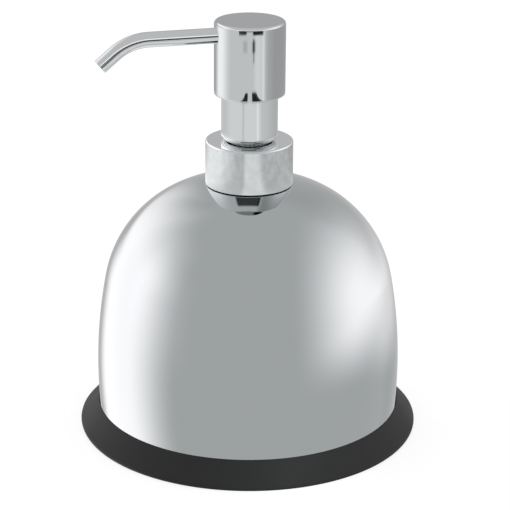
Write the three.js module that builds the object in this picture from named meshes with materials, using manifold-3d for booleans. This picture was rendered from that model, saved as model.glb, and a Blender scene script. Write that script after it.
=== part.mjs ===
// Soap dispenser: a polished domed bottle on a rubber ring, with a long-spouted pump screwed to its neck.
// Millimetres, +Z up. The origin is on the dome's axis, at the level of the table. The spout points to -X.
import * as THREE from 'three';
import { mergeVertices } from 'three/addons/utils/BufferGeometryUtils.js';
import Module from 'manifold-3d';

const wasm = await Module();
wasm.setup();

const { degToRad } = THREE.MathUtils;
const quarterTurn = Math.PI / 2;
const fullTurn = 2 * Math.PI;

// How finely the round pieces are cut.
const largeSides = 48;
const middleSides = 32;
const pumpSides = 24;
const smallSides = 20;
const ballSides = 16;
const filletSteps = 3;

// Clearances, all on the radius or along the axis.
const runningFit = 0.2;   // a round piece that turns or slides in another
const pressedFit = 0.15;  // a round piece that is held fast in another
const seatGap = 0.3;      // a piece on a curved, conical or cut face
const faceGap = 0.15;     // a flat face on a flat face
const cutOverrun = 2;     // how far a cutter passes the face that it opens

// Dome: a wall and a shoulder, two arcs that run smoothly into each other, up to the neck's hole.
const domeRadius = 54.88;         // where the wall is widest
const domeWidestHeight = 21.95;
const domeFootHeight = 5;
const wallArcRadius = 178.1;
const wallArcRise = degToRad(11.18);
const shoulderArcRadius = 43.45;
const shellWall = 0.8;

// Floor of the dome: a pan with its rim turned down.
const panWall = 0.8;
const panRimHeight = 3.8;
const panCornerRadius = 1.6;

// Rubber ring under the dome.
const ringFlare = 6.62;           // lip outside the widest part of the dome
const ringGrip = 3.7;             // skirt above the foot of the dome
const ringShelfWidth = 8.1;       // shelf inward of the dome's skin
const ringTopWidth = 0.5;
const ringTopRounding = 0.25;
const ringLipRadius = 1.5;        // rounded outer edge near the table
const ringSoleAngle = degToRad(48); // how far below level the rounding ends, at the sole

// Neck: a turned ring, put in from inside the dome and brazed under the crown.
const neckBoreRadius = 10.9;
const neckWall = 1.65;            // between the bore and the root of the thread
const neckLipBand = 1.2;          // plain band over the thread
const neckFlangeWidth = 2.6;
const neckFlangeThickness = 2;
const neckLipChamfer = 0.5;

// Screw thread between the neck and the collar, right-handed.
const threadPitch = 4.2;
const threadDepth = 1.15;
const threadFootWidth = 1.9;
const threadCrestWidth = 1.1;
const threadWeld = 0.4;           // how deep a ridge is rooted in its wall
const threadRise = 3;             // start of the neck's ridge above the edge of the dome's hole
const threadTurnsShare = 1.25;    // turns of each ridge
const threadLeadShare = 0.25;     // turns by which the collar's ridge starts later
const threadFadeShare = 0.08;     // turns over which a ridge rises at each end
const threadSteps = 30;

// Collar: a chromed skin over a threaded insert.
const insertWall = 0.9;           // behind the root of the inner thread
const collarSkin = 0.5;
const collarEdge = 0.7;
const collarLedge = 1.85;         // plate of the insert that holds the pump's flange down

// Gasket on the neck's lip.
const gasketThickness = 1.2;
const gasketInset = 0.15;         // smaller than the root of the thread

// Pump housing.
const barrelBoreRadius = 5.9;
const barrelWall = 1.1;
const flangeThickness = 1.4;
const ballRadius = 2.4;
const ballPlay = 1.1;             // room round the ball in its chamber
const chamberWall = 1.2;
const chamberHeight = 3.8;        // straight part, above the cone
const cageGrip = 0.2;             // how much smaller than the ball the hole of the cage is
const cageThickness = 1;
const inletStep = 0.8;            // how much smaller than the ball the inlet is
const inletLength = 1;
const barrelTaper = 2.4;
const socketWall = 1.2;
const socketLength = 8;
const ventRadius = 0.6;
const ventDrop = 2.6;             // vent below the chaplet's spigot

// Dip tube.
const tubeRadius = 3;
const tubeWall = 0.8;
const tubeFootClearance = 3;      // foot of the tube above the floor of the dome

// Chaplet: the guide that closes the barrel and stands in the sleeve.
const spigotLength = 6.5;
const waistStep = 2.1;            // waist outside the bore of the barrel
const chapletChannelWidth = 3;
const chapletFloor = 2.2;

// Sleeve: a chromed tube over the chaplet, drawn in at its foot.
const sleeveWall = 0.6;
const sleeveFootRounding = 2;     // runs from the sleeve's skin in to the chaplet's waist
const sleeveLap = 2;              // how far the sleeve stands up inside the head

// Guide bush in the top of the sleeve.
const bushThickness = 3;

// Stem and piston.
const stemRadius = 3.4;
const stemBoreRadius = 1.8;
const stemBeadWidth = 1;
const stemBeadHeight = 0.8;
const sealHeight = 4.5;
const valveTravel = 1.5;          // play of the seal between the foot and the bead
const sealLipWidth = 0.55;
const sealLipHeight = 1.2;
const rodFootPlay = 1;            // room round the foot in the barrel
const rodFootHeight = 1.2;
const rodPortRadius = 0.7;
const rodShankLength = 7;
const rodBoreRadius = 0.9;

// Return spring.
const springPressedLength = 9;
const springWireRadius = 0.4;
const springCurls = 7;
const springCurlSteps = 8;
const springWireSides = 5;

// Head: a chromed cap over a plastic core.
const headPlay = 1.8;             // room between the head and the sleeve
const headWall = 0.7;
const headTopFillet = 1;
const headFootRounding = 0.3;
const pumpStroke = 14;
const strokeReserve = 2.8;        // head above the collar at the end of the stroke
const coreReserve = 0.75;         // core above the sleeve at the end of the stroke
const coreFloor = 1.9;            // core under the spout tube
const stemSocketDepth = 2.1;

// Spout: a bent tube with its end cut square.
const spoutRadius = 2.7;
const spoutWall = 0.6;
const spoutTopMargin = 0.85;      // between the spout's hole and the underside of the head's top
const spoutStraight = 35.85;      // from the axis to the start of the bend
const spoutBendRadius = 19;
const spoutBendAngle = degToRad(40);
const spoutEndLength = 6.4;
const spoutRootRadius = 4.4;      // where the tube stops in the core, from the axis
const spoutHoleGap = 0.4;         // open ring round the tube in the head's wall
const spoutSides = 16;
const spoutSteps = 16;
const sealRingSection = 0.35;     // radius of the rubber ring's round section
const sealRingInset = 1.6;        // rubber ring inside the wall of the core

// Only positions, shared corners merged, no empty triangles, faces pointing out.
function closed(geometry) {
  const plain = geometry.clone();
  plain.deleteAttribute('normal');
  plain.deleteAttribute('uv');
  const merged = mergeVertices(plain);
  const index = merged.getIndex().array;
  const kept = [];
  for (let i = 0; i < index.length; i += 3) {
    const [a, b, c] = [index[i], index[i + 1], index[i + 2]];
    if (a !== b && b !== c && c !== a) kept.push(a, b, c);
  }
  const position = merged.getAttribute('position');
  const corner = (i) => new THREE.Vector3().fromBufferAttribute(position, i);
  let volume = 0;
  for (let i = 0; i < kept.length; i += 3) {
    volume += corner(kept[i]).dot(corner(kept[i + 1]).cross(corner(kept[i + 2])));
  }
  if (volume < 0) kept.reverse();
  const result = new THREE.BufferGeometry();
  result.setAttribute('position', position.clone());
  result.setIndex(kept);
  return result;
}

function toSolid(geometry) {
  const source = closed(geometry);
  return new wasm.Manifold(new wasm.Mesh({
    numProp: 3,
    vertProperties: Float32Array.from(source.getAttribute('position').array),
    triVerts: Uint32Array.from(source.getIndex().array),
  }));
}

function toGeometry(solid) {
  const mesh = solid.getMesh();
  const result = new THREE.BufferGeometry();
  result.setAttribute('position', new THREE.Float32BufferAttribute(mesh.vertProperties, 3));
  result.setIndex(Array.from(mesh.triVerts));
  return result;
}

const cut = (geometry, ...cutters) => toGeometry(
  cutters.reduce((solid, cutter) => solid.subtract(toSolid(cutter)), toSolid(geometry)));
const join = (geometry, ...others) => toGeometry(
  others.reduce((solid, other) => solid.add(toSolid(other)), toSolid(geometry)));

// Points of an arc in the (radius, height) plane, both ends included.
function arc(radius, height, size, from, to, steps = filletSteps) {
  return new THREE.EllipseCurve(radius, height, size, size, from, to, to < from).getPoints(steps);
}

// Solid of revolution about Z. The outline is a list of [radius, height] pairs and arc points.
// An outline that doesn't start and end on the axis is closed on itself.
function turned(outline, sides = pumpSides) {
  const points = outline.map((p) => (p.isVector2 ? p.clone() : new THREE.Vector2(...p)));
  const [first, last] = [points[0], points[points.length - 1]];
  if (first.x !== 0 || last.x !== 0) points.push(first.clone());
  return closed(new THREE.LatheGeometry(points, sides).rotateX(quarterTurn));
}

// Plain tube or washer about Z.
const washer = (inner, outer, bottom, top, sides = pumpSides) => turned(
  [[inner, bottom], [outer, bottom], [outer, top], [inner, top]], sides);

// Round cutter that starts on the axis at one height and runs level, in the direction of an angle.
function levelDrill(radius, length, height, angle, sides = smallSides) {
  const drill = new THREE.CylinderGeometry(radius, radius, length, sides);
  return drill.rotateZ(quarterTurn).translate(length / 2, 0, 0).rotateZ(angle).translate(0, 0, height);
}

// Screw ridge on a round wall: a tapered section carried round and up, rooted in the wall.
// The side is 1 for a ridge that stands outward and -1 for one that stands inward.
function screwRidge(wallRadius, side, startHeight, startTurns, turns) {
  const positions = [];
  const steps = Math.round(threadSteps * turns);
  for (let i = 0; i <= steps; i += 1) {
    const done = turns * i / steps;
    const rise = Math.min(1, done / threadFadeShare, (turns - done) / threadFadeShare);
    const angle = fullTurn * (startTurns + done);
    const height = startHeight + threadPitch * (startTurns + done);
    const root = wallRadius - side * threadWeld;
    const crest = root + side * (threadWeld / 2 + (threadDepth + threadWeld / 2) * rise);
    const section = [
      [root, -threadFootWidth / 2], [crest, -threadCrestWidth / 2],
      [crest, threadCrestWidth / 2], [root, threadFootWidth / 2],
    ];
    for (const [radius, up] of section) {
      positions.push(radius * Math.cos(angle), radius * Math.sin(angle), height + up);
    }
  }
  const index = [0, 2, 1, 0, 3, 2];
  for (let i = 0; i < steps; i += 1) {
    for (let k = 0; k < 4; k += 1) {
      const [a, b] = [4 * i + k, 4 * i + (k + 1) % 4];
      index.push(a, b, b + 4, a, b + 4, a + 4);
    }
  }
  const end = 4 * steps;
  index.push(end, end + 1, end + 2, end, end + 2, end + 3);
  const geometry = new THREE.BufferGeometry();
  geometry.setAttribute('position', new THREE.Float32BufferAttribute(positions, 3));
  geometry.setIndex(index);
  return closed(geometry);
}

const finish = (color, roughness, metalness) => new THREE.MeshStandardMaterial(
  { color, roughness, metalness });
const finishes = {
  chrome: [0xd2d5d6, 0.08, 1],
  steel: [0xb9bcbe, 0.3, 1],
  rubber: [0x2f3030, 0.65, 0],
  whitePlastic: [0xe9ebea, 0.4, 0],
  clearPlastic: [0xdfe6e6, 0.3, 0],
  greyPlastic: [0x8d9293, 0.5, 0],
  softSeal: [0x55595a, 0.7, 0],
};

const dispenser = new THREE.Group();
function piece(parent, name, geometry, look) {
  const mesh = new THREE.Mesh(geometry, finish(...finishes[look]));
  mesh.name = name;
  parent.add(mesh);
  return mesh;
}

// Dome, floor and ring.
const wallCentre = new THREE.Vector2(domeRadius - wallArcRadius, domeWidestHeight);
const alongWall = new THREE.Vector2(Math.cos(wallArcRise), Math.sin(wallArcRise));
const shoulderCentre = wallCentre.clone().addScaledVector(alongWall, wallArcRadius - shoulderArcRadius);

// Height of the shoulder over a radius, and radius of the wall at a height, on the skin or inside it.
const shoulderHeight = (radius, inset = 0) => shoulderCentre.y
  + Math.sqrt((shoulderArcRadius - inset) ** 2 - (radius - shoulderCentre.x) ** 2);
const wallRadius = (height, inset = 0) => wallCentre.x
  + Math.sqrt((wallArcRadius - inset) ** 2 - (height - domeWidestHeight) ** 2);

const neckRootRadius = neckBoreRadius + neckWall;
const neckCrestRadius = neckRootRadius + threadDepth;
const domeHoleRadius = neckCrestRadius + seatGap;
const domeTop = shoulderHeight(domeHoleRadius);

function domeLine(inset, steps) {
  const foot = Math.asin((domeFootHeight - domeWidestHeight) / (wallArcRadius - inset));
  const hole = Math.acos((domeHoleRadius - shoulderCentre.x) / (shoulderArcRadius - inset));
  return [
    ...arc(wallCentre.x, wallCentre.y, wallArcRadius - inset, foot, wallArcRise, steps.wall),
    ...arc(shoulderCentre.x, shoulderCentre.y, shoulderArcRadius - inset, wallArcRise, hole,
      steps.shoulder).slice(1),
  ];
}

const domeSteps = { wall: 3, shoulder: 9 };
const outerDome = domeLine(0, domeSteps);
const innerDome = domeLine(shellWall, domeSteps).reverse();
piece(dispenser, 'dome_shell', turned([...outerDome, ...innerDome], largeSides), 'chrome');

const panRadius = wallRadius(domeFootHeight, shellWall) - seatGap;
const panTop = domeFootHeight + panRimHeight + panWall;
piece(dispenser, 'base_pan', turned([
  [0, panTop - panWall], [panRadius - panCornerRadius, panTop - panWall],
  ...arc(panRadius - panCornerRadius, panTop - panCornerRadius, panCornerRadius - panWall, quarterTurn, 0),
  [panRadius - panWall, domeFootHeight], [panRadius, domeFootHeight],
  ...arc(panRadius - panCornerRadius, panTop - panCornerRadius, panCornerRadius, 0, quarterTurn),
  [0, panTop],
], largeSides), 'steel');

// The ring carries the foot of the dome on a shelf and closes round it with a flared skirt.
const ringRadius = domeRadius + ringFlare;
const ringTopHeight = domeFootHeight + ringGrip;
const shelfHeight = domeFootHeight - faceGap;
const ringInnerRadius = wallRadius(domeFootHeight) - ringShelfWidth;
const ringMouthRadius = (height) => wallRadius(height) + runningFit;
const ringTopOuter = ringMouthRadius(ringTopHeight) + ringTopWidth;
const lipCentre = new THREE.Vector2(ringRadius - ringLipRadius, ringLipRadius * Math.sin(ringSoleAngle));
const skirtTop = new THREE.Vector2(ringTopOuter, ringTopHeight - ringTopRounding);
const skirtRun = lipCentre.clone().sub(skirtTop);
const skirtAngle = Math.atan2(skirtRun.y, skirtRun.x) + quarterTurn
  - Math.asin(ringLipRadius / skirtRun.length());
piece(dispenser, 'base_ring', turned([
  [ringInnerRadius, 0],
  ...arc(lipCentre.x, lipCentre.y, ringLipRadius, -ringSoleAngle, skirtAngle, 2 * filletSteps),
  [ringTopOuter, ringTopHeight - ringTopRounding],
  [ringTopOuter - ringTopRounding, ringTopHeight],
  [ringMouthRadius(ringTopHeight), ringTopHeight],
  [ringMouthRadius(shelfHeight), shelfHeight],
  [ringInnerRadius, shelfHeight],
], largeSides), 'rubber');

// Neck.
const neckFlangeRadius = neckCrestRadius + neckFlangeWidth;
const neckFlangeTop = shoulderHeight(neckFlangeRadius, shellWall) - seatGap;
const ridgeStart = domeTop + threadRise;
const ridgeTop = ridgeStart + threadTurnsShare * threadPitch + threadFootWidth / 2;
const neckLip = ridgeTop + neckLipBand;
const neckBody = turned([
  [neckBoreRadius, neckFlangeTop - neckFlangeThickness],
  [neckFlangeRadius, neckFlangeTop - neckFlangeThickness],
  [neckFlangeRadius, neckFlangeTop],
  [neckRootRadius, neckFlangeTop],
  [neckRootRadius, neckLip - neckLipChamfer],
  [neckRootRadius - neckLipChamfer, neckLip],
  [neckBoreRadius, neckLip],
], middleSides);
piece(dispenser, 'neck_ring', join(neckBody,
  screwRidge(neckRootRadius, 1, ridgeStart, 0, threadTurnsShare)), 'steel');

// The stack on the neck, upward.
const gasketBottom = neckLip + faceGap;
const gasketTop = gasketBottom + gasketThickness;
const flangeBottom = gasketTop + faceGap;
const flangeTop = flangeBottom + flangeThickness;
const ledgeBottom = flangeTop + faceGap;
const ledgeTop = ledgeBottom + collarLedge;
const collarTop = ledgeTop + faceGap + collarSkin;
const collarFoot = domeTop + seatGap;

const gasketRadius = neckRootRadius - gasketInset;
const barrelRadius = barrelBoreRadius + barrelWall;
const gasket = new THREE.Group();
dispenser.add(gasket);
piece(gasket, 'neck_gasket',
  washer(barrelRadius + seatGap, gasketRadius, gasketBottom, gasketTop), 'softSeal');

// Collar.
const collar = new THREE.Group();
const insertRootRadius = neckCrestRadius + seatGap;
const insertRadius = insertRootRadius + insertWall;
const collarRadius = insertRadius + pressedFit + collarSkin;
const waistRadius = barrelBoreRadius + waistStep;
const collarHoleRadius = waistRadius + runningFit;
const insertFoot = collarFoot + faceGap;
const insertBody = turned([
  [insertRootRadius, insertFoot], [insertRadius, insertFoot],
  [insertRadius, ledgeTop - collarEdge],
  ...arc(insertRadius - collarEdge, ledgeTop - collarEdge, collarEdge, 0, quarterTurn).slice(1),
  [collarHoleRadius, ledgeTop], [collarHoleRadius, ledgeBottom],
  [insertRootRadius, ledgeBottom],
], middleSides);
piece(collar, 'collar_insert', join(insertBody, screwRidge(insertRootRadius, -1,
  ridgeStart - threadPitch / 2, threadLeadShare, threadTurnsShare)), 'greyPlastic');

piece(collar, 'collar_shell', turned([
  [insertRadius + pressedFit, collarFoot], [collarRadius, collarFoot],
  ...arc(collarRadius - collarEdge, collarTop - collarEdge, collarEdge, 0, quarterTurn),
  [collarHoleRadius, collarTop], [collarHoleRadius, collarTop - collarSkin],
  ...arc(collarRadius - collarEdge, collarTop - collarEdge, collarEdge - collarSkin, quarterTurn, 0),
], largeSides), 'chrome');

// The parts of the pump that stay still.
const pump = new THREE.Group();
dispenser.add(pump);
pump.add(collar);

const spigotBottom = ledgeBottom - spigotLength;
const beadTop = spigotBottom - seatGap;
const sealTop = beadTop - stemBeadHeight - valveTravel;
const sealBottom = sealTop - sealHeight;
const rodFootTop = sealBottom - faceGap;
const rodFootBottom = rodFootTop - rodFootHeight;
const springTop = rodFootBottom - faceGap;
const springBottom = springTop - springPressedLength - pumpStroke;
const springSeat = springBottom - faceGap;
const chamberRadius = ballRadius + ballPlay;
const cageRadius = ballRadius - cageGrip;
const inletRadius = ballRadius - inletStep;
const chamberTop = springSeat - cageThickness;
const coneTop = chamberTop - chamberHeight;
const coneBottom = coneTop - (chamberRadius - inletRadius);
const socketTop = coneBottom - inletLength;
const socketFoot = socketTop - socketLength;
const socketRadius = tubeRadius + pressedFit;
const chamberOuter = chamberRadius + chamberWall;

const housingBody = turned([
  [socketRadius, socketFoot], [socketRadius + socketWall, socketFoot],
  [socketRadius + socketWall, coneBottom], [chamberOuter, coneTop],
  [chamberOuter, springSeat - barrelTaper], [barrelRadius, springSeat],
  [barrelRadius, flangeBottom], [gasketRadius, flangeBottom], [gasketRadius, flangeTop],
  [barrelBoreRadius, flangeTop], [barrelBoreRadius, springSeat], [cageRadius, springSeat],
  [cageRadius, chamberTop], [chamberRadius, chamberTop], [chamberRadius, coneTop],
  [inletRadius, coneBottom], [inletRadius, socketTop], [socketRadius, socketTop],
], pumpSides);
piece(pump, 'pump_housing', cut(housingBody,
  levelDrill(ventRadius, barrelRadius + cutOverrun, spigotBottom - ventDrop, quarterTurn)), 'clearPlastic');

const sleeveRadius = waistRadius + sleeveFootRounding;
const stemGuideRadius = stemRadius + runningFit;
const spigotRadius = barrelBoreRadius - pressedFit;
const sleeveFoot = collarTop + faceGap;
const headFoot = collarTop + strokeReserve + pumpStroke;
const sleeveTop = headFoot + sleeveLap;
const bushTop = sleeveTop - faceGap;
const chapletTop = bushTop - bushThickness - faceGap;
const chapletRadius = sleeveRadius - sleeveWall - pressedFit;
const chapletHip = sleeveFoot + sleeveWall + sleeveFootRounding;
const channelFloor = chapletHip + chapletFloor;
const channelOuter = chapletRadius - (chapletRadius - stemGuideRadius - chapletChannelWidth) / 2;
const channelInner = channelOuter - chapletChannelWidth;
piece(pump, 'chaplet', turned([
  [stemGuideRadius, spigotBottom], [spigotRadius, spigotBottom],
  [spigotRadius, ledgeBottom], [waistRadius, ledgeBottom],
  [waistRadius, sleeveFoot + sleeveWall], [chapletRadius, chapletHip],
  [chapletRadius, chapletTop], [channelOuter, chapletTop],
  [channelOuter, channelFloor], [channelInner, channelFloor],
  [channelInner, chapletTop], [stemGuideRadius, chapletTop],
], pumpSides), 'whitePlastic');

const footCentreHeight = sleeveFoot + sleeveFootRounding;
const sleeveMouth = waistRadius + runningFit;
const footReach = Math.acos(Math.min(1, (sleeveMouth - waistRadius) / sleeveFootRounding));
const footReachInside = Math.acos(Math.min(1,
  (sleeveMouth - waistRadius) / (sleeveFootRounding - sleeveWall)));
piece(pump, 'sleeve_shell', turned([
  ...arc(waistRadius, footCentreHeight, sleeveFootRounding, -footReach, 0, filletSteps + 1),
  [sleeveRadius, sleeveTop], [sleeveRadius - sleeveWall, sleeveTop],
  ...arc(waistRadius, footCentreHeight, sleeveFootRounding - sleeveWall, 0, -footReachInside),
], middleSides), 'chrome');

const bush = washer(stemGuideRadius, chapletRadius, bushTop - bushThickness, bushTop);
piece(pump, 'sleeve_bush', bush, 'greyPlastic');

piece(pump, 'dip_tube', washer(tubeRadius - tubeWall, tubeRadius, panTop + tubeFootClearance,
  socketTop - faceGap, smallSides), 'clearPlastic');

// Inlet ball. Its cone's sides slope at half a right angle.
const coneTip = coneBottom - inletRadius;
const ballHeight = coneTip + (ballRadius + faceGap) * Math.SQRT2;
const ball = piece(pump, 'inlet_ball',
  new THREE.SphereGeometry(ballRadius, ballSides, ballSides / 2), 'steel');
ball.geometry.rotateX(quarterTurn);
ball.position.z = ballHeight;

// Return spring: a coil whose two ends turn square to the seats that they stand on.
function coilSpring(bottom, top, coilRadius) {
  const positions = [];
  const index = [];
  const steps = springCurls * springCurlSteps;
  const wireSpan = 2 * springWireRadius;
  const low = bottom + wireSpan;
  const high = top - wireSpan;
  const centres = [new THREE.Vector3(coilRadius, 0, bottom)];
  for (let i = 0; i <= steps; i += 1) {
    const angle = fullTurn * i / springCurlSteps;
    const centre = new THREE.Vector3(coilRadius * Math.cos(angle), coilRadius * Math.sin(angle),
      THREE.MathUtils.lerp(low, high, i / steps));
    centres.push(centre);
  }
  centres.push(new THREE.Vector3(coilRadius, 0, top));
  const last = centres.length - 1;
  centres.forEach((centre, i) => {
    const angle = fullTurn * Math.min(Math.max(i - 1, 0), steps) / springCurlSteps;
    const outward = new THREE.Vector3(Math.cos(angle), Math.sin(angle), 0);
    const along = new THREE.Vector3(-Math.sin(angle), Math.cos(angle), 0);
    const second = new THREE.Vector3(0, 0, 1);
    // The end sections lie level. The first and last bends are half way between level and upright.
    if (i === 0 || i === last) second.copy(along).negate();
    if (i === 1 || i === last - 1) second.addScaledVector(along, -1).normalize();
    for (let k = 0; k < springWireSides; k += 1) {
      const turn = fullTurn * k / springWireSides;
      const point = centre.clone().addScaledVector(outward, springWireRadius * Math.cos(turn))
        .addScaledVector(second, springWireRadius * Math.sin(turn));
      positions.push(point.x, point.y, point.z);
    }
  });
  for (let i = 0; i < last; i += 1) {
    for (let k = 0; k < springWireSides; k += 1) {
      const next = (k + 1) % springWireSides;
      const [a, b] = [springWireSides * i + k, springWireSides * i + next];
      const [c, d] = [a + springWireSides, b + springWireSides];
      index.push(a, c, d, a, d, b);
    }
  }
  for (let k = 1; k < springWireSides - 1; k += 1) {
    index.push(0, k, k + 1);
    const end = springWireSides * last;
    index.push(end, end + k + 1, end + k);
  }
  // Least gap between the wires of neighbouring curls, measured on the centre line.
  let least = Infinity;
  for (let i = 0; i <= last; i += 1) {
    for (let j = i + springCurlSteps - 2; j <= last; j += 1) {
      least = Math.min(least, centres[i].distanceTo(centres[j]) - wireSpan);
    }
  }
  console.log(`least gap between the curls of the spring: ${least.toFixed(2)} mm`);
  const geometry = new THREE.BufferGeometry();
  geometry.setAttribute('position', new THREE.Float32BufferAttribute(positions, 3));
  geometry.setIndex(index);
  return closed(geometry);
}
const springCoilRadius = (cageRadius + barrelBoreRadius) / 2 + springWireRadius;
piece(pump, 'return_spring', coilSpring(springBottom, springTop, springCoilRadius), 'steel');

// Piston seal.
const piston = new THREE.Group();
pump.add(piston);
const sealBoreRadius = stemRadius + runningFit;
const sealLipRadius = barrelBoreRadius - runningFit;
const rodFootRadius = barrelBoreRadius - rodFootPlay;
const sealWaistRadius = sealLipRadius - sealLipWidth;
piece(piston, 'piston_seal', turned([
  [sealBoreRadius, sealBottom], [sealWaistRadius, sealBottom],
  [sealLipRadius, sealBottom], [sealLipRadius, sealBottom + sealLipHeight / 2],
  [sealWaistRadius, sealBottom + sealLipHeight],
  [sealWaistRadius, sealTop - sealLipHeight],
  [sealLipRadius, sealTop - sealLipHeight / 2], [sealLipRadius, sealTop],
  [sealBoreRadius, sealTop],
], pumpSides), 'softSeal');

// Head.
const head = new THREE.Group();
piston.add(head);
const headInner = sleeveRadius + headPlay;
const headRadius = headInner + headWall;
const coreBottom = sleeveTop + pumpStroke + coreReserve;
const spoutHeight = coreBottom + coreFloor + spoutRadius;
const headTop = spoutHeight + spoutRadius + spoutHoleGap + spoutTopMargin + headWall;
const headFillet = Math.max(headTopFillet - headWall, 0);
const headBody = turned([
  [headInner, headFoot], [headRadius - headFootRounding, headFoot],
  [headRadius, headFoot + headFootRounding],
  ...arc(headRadius - headTopFillet, headTop - headTopFillet, headTopFillet, 0, quarterTurn),
  [0, headTop], [0, headTop - headWall],
  ...arc(headRadius - headTopFillet, headTop - headTopFillet, headFillet, quarterTurn, 0),
], largeSides);
piece(head, 'head_shell', cut(headBody,
  levelDrill(spoutRadius + spoutHoleGap, headRadius + cutOverrun, spoutHeight, Math.PI)), 'chrome');

const coreRadius = headInner - pressedFit;
const coreTop = headTop - headWall - faceGap;
const stemTop = coreBottom + stemSocketDepth;
const tubeBoreInCore = spoutRadius + pressedFit;
const flowRadius = spoutRadius - spoutWall;
const coreEdge = Math.max(headFillet, pressedFit);
const coreBody = turned([
  [0, coreBottom], [coreRadius, coreBottom], [coreRadius, coreTop - coreEdge],
  [coreRadius - coreEdge, coreTop], [0, coreTop],
], pumpSides);
const sealSeatRadius = spoutRadius + 2 * sealRingSection + pressedFit;
const sealSeatStart = coreRadius - sealRingInset - 2 * sealRingSection;
const stemSocket = washer(0, stemRadius + pressedFit, coreBottom - cutOverrun, stemTop + faceGap);
const risingFlow = washer(0, stemBoreRadius, stemTop, spoutHeight, smallSides);
const levelFlow = levelDrill(flowRadius, spoutRootRadius, spoutHeight, Math.PI);
const tubeHole = levelDrill(tubeBoreInCore, coreRadius + cutOverrun - spoutRootRadius, spoutHeight, Math.PI)
  .translate(faceGap - spoutRootRadius, 0, 0);
const sealSeat = levelDrill(sealSeatRadius, coreRadius + cutOverrun - sealSeatStart, spoutHeight, Math.PI)
  .translate(faceGap - sealSeatStart, 0, 0);
const core = cut(coreBody, stemSocket, risingFlow, levelFlow, tubeHole, sealSeat);
piece(head, 'actuator_core', core, 'whitePlastic');

// Rubber ring round the tube where it enters the core.
const ringSectionCentre = spoutRadius + sealRingSection + pressedFit / 2;
const sealRing = new THREE.TorusGeometry(ringSectionCentre, sealRingSection - pressedFit / 2,
  filletSteps * 2, smallSides).rotateY(quarterTurn);
const sealRingMesh = piece(head, 'spout_seal', closed(sealRing), 'softSeal');
sealRingMesh.position.set(-(sealSeatStart + sealRingSection + faceGap), 0, spoutHeight);

// Spout: straight run, bend and end, along the middle of the tube.
const bendStart = new THREE.Vector3(-spoutStraight, 0, spoutHeight);
const bendPoint = (angle) => new THREE.Vector3(
  bendStart.x - spoutBendRadius * Math.sin(angle), 0,
  spoutHeight - spoutBendRadius * (1 - Math.cos(angle)));
class SpoutBend extends THREE.Curve {
  getPoint(share, target = new THREE.Vector3()) {
    return target.copy(bendPoint(spoutBendAngle * share));
  }
}
const bendEnd = bendPoint(spoutBendAngle);
const spoutTip = bendEnd.clone().add(new THREE.Vector3(
  -spoutEndLength * Math.cos(spoutBendAngle), 0, -spoutEndLength * Math.sin(spoutBendAngle)));
const spoutPath = new THREE.CurvePath();
spoutPath.add(new THREE.LineCurve3(new THREE.Vector3(-spoutRootRadius, 0, spoutHeight), bendStart));
spoutPath.add(new SpoutBend());
spoutPath.add(new THREE.LineCurve3(bendEnd, spoutTip));
const spoutSection = new THREE.Shape().absarc(0, 0, spoutRadius, 0, fullTurn);
spoutSection.holes.push(new THREE.Path().absarc(0, 0, spoutRadius - spoutWall, 0, fullTurn, true));
piece(head, 'spout_tube', closed(new THREE.ExtrudeGeometry(spoutSection, {
  steps: spoutSteps, curveSegments: spoutSides / 2, bevelEnabled: false, extrudePath: spoutPath,
})), 'chrome');

// Stem: carries the head, with a bead that stops it under the chaplet.
const stemFoot = rodFootTop + faceGap;
const beadRadius = stemRadius + stemBeadWidth;
const stemBody = turned([
  [stemBoreRadius, stemFoot], [stemRadius, stemFoot],
  [stemRadius, beadTop - stemBeadHeight], [beadRadius, beadTop - stemBeadHeight],
  [beadRadius, beadTop - stemBeadHeight / 2], [stemRadius, beadTop],
  [stemRadius, stemTop], [stemBoreRadius, stemTop],
], pumpSides);
const portHeight = rodFootTop + seatGap + rodPortRadius;
const ports = (from) => [quarterTurn, -quarterTurn].map((angle) => levelDrill(
  rodPortRadius, from + cutOverrun, portHeight, angle, smallSides / 2));
piece(head, 'stem', cut(stemBody, ...ports(stemRadius)), 'whitePlastic');

// Rod: its foot holds the seal and pushes on the spring. Soap enters over the foot, through two ports
// that go on through the stem, and the seal uncovers them as it slides up on the way down.
const shankRadius = stemBoreRadius - pressedFit;
const shankTop = rodFootTop + rodShankLength;
const rodBody = turned([
  [0, rodFootBottom], [rodFootRadius, rodFootBottom], [rodFootRadius, rodFootTop],
  [shankRadius, rodFootTop], [shankRadius, shankTop], [rodBoreRadius, shankTop],
  [rodBoreRadius, portHeight], [0, portHeight],
], smallSides);
piece(head, 'piston_rod', cut(rodBody, ...ports(shankRadius)), 'whitePlastic');

console.log(`height over all: ${headTop.toFixed(2)} mm, neck lip at ${neckLip.toFixed(2)} mm`);

export default dispenser;
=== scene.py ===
# Soap dispenser: a polished domed bottle on a charcoal rubber ring, with a long-spouted pump on its neck.
# Metres in the scene, millimetres in the settings. +Z is up and the spout points to -X.
import math

import bmesh
import bpy
import numpy as np
from mathutils import Matrix, Vector


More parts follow.
